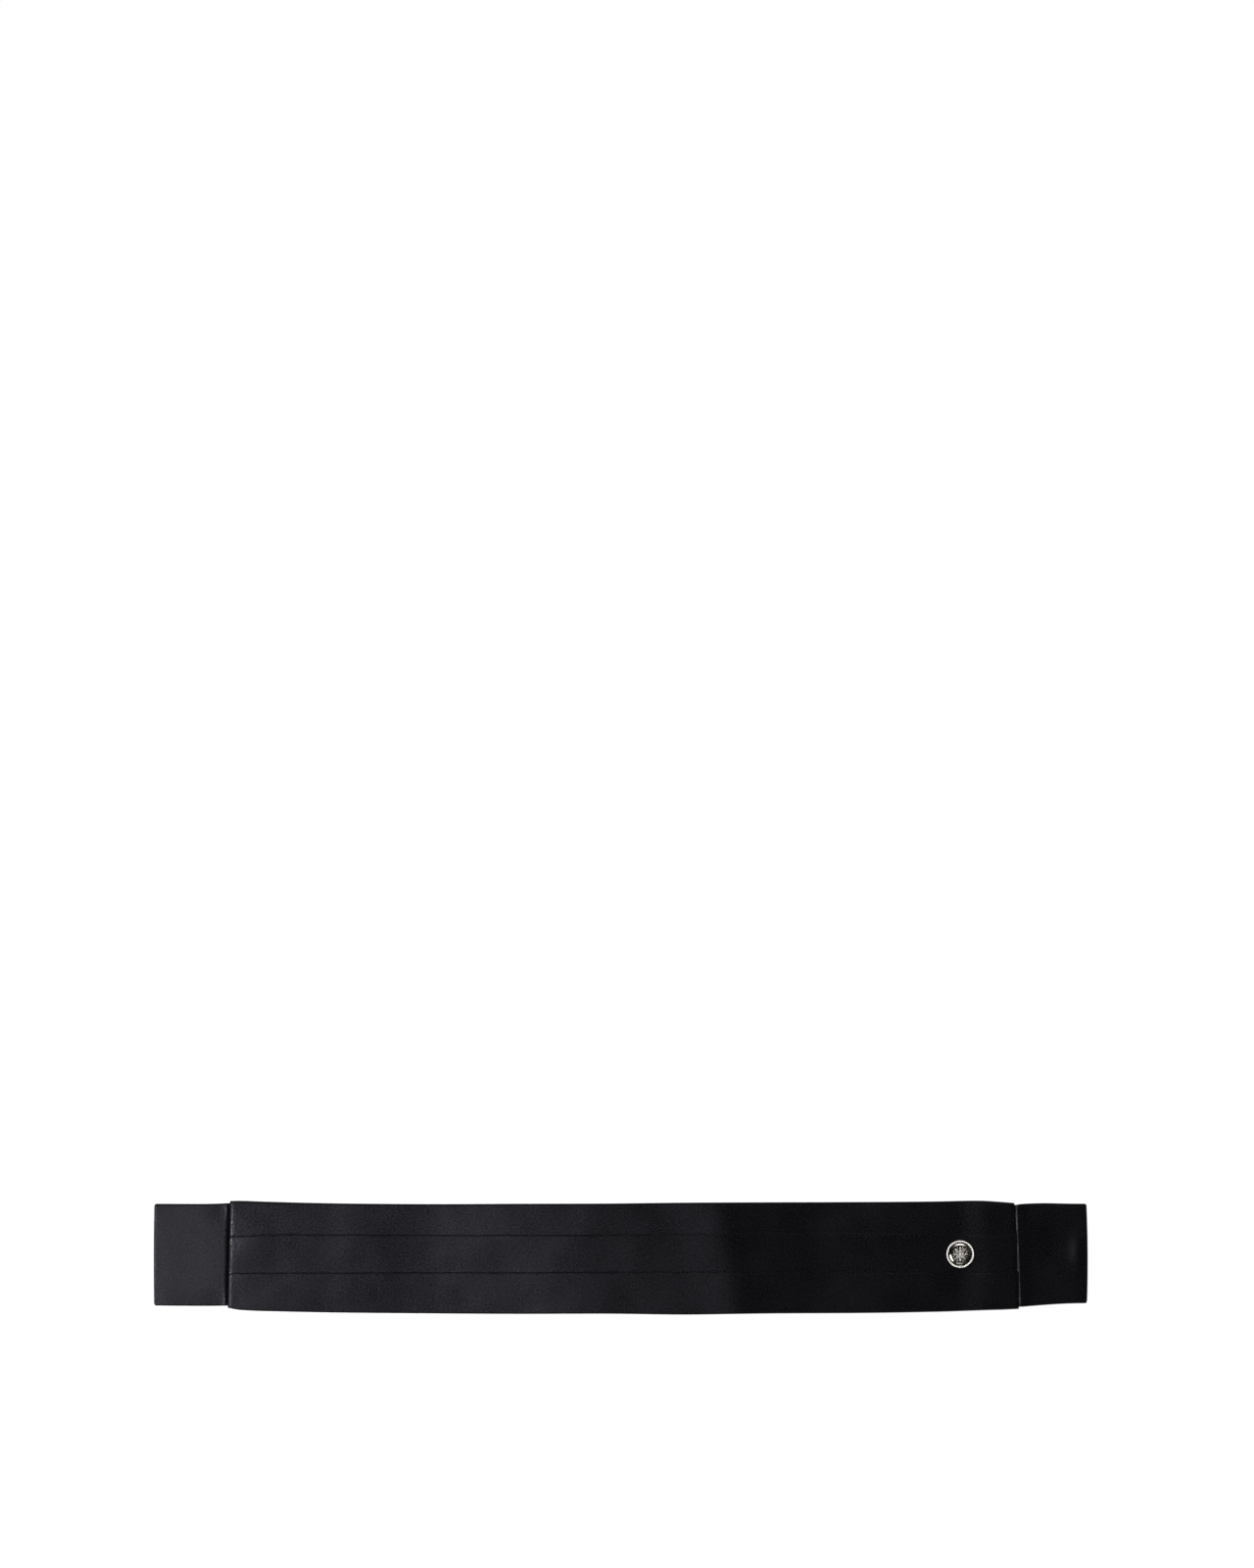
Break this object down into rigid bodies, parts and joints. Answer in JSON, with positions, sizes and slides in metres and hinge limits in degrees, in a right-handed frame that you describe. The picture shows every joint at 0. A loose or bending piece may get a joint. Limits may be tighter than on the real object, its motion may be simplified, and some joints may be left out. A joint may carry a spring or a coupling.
{
  "type": "cummerbund",
  "caption": "Pleated black satin waist sash with a round metal button near one end, lying on its back with both end bands folded under it.",
  "frame": {"origin": "middle of the footprint, on the surface that it lies on", "axes": "+X along the sash towards the end with the button, +Y towards its upper edge as worn, +Z out of its front"},
  "size_m": [0.809, 0.0994, 0.0115],
  "materials": {
    "satin": "black silk satin, soft sheen, fine weave",
    "band_satin": "black satin, smoother than the panel",
    "button_silver": "cast metal with a warm silver plating, polished on its high places",
    "button_enamel": "black enamel, glossy",
    "clasp_steel": "plain bent sheet steel"
  },
  "bodies": {
    "root": {"pleated_panel": "satin", "left_band": "band_satin", "right_band": "band_satin", "hook": "clasp_steel", "bar": "clasp_steel", "button_shell": "button_silver", "button_enamel": "button_enamel"}
  },
  "joints": []
}
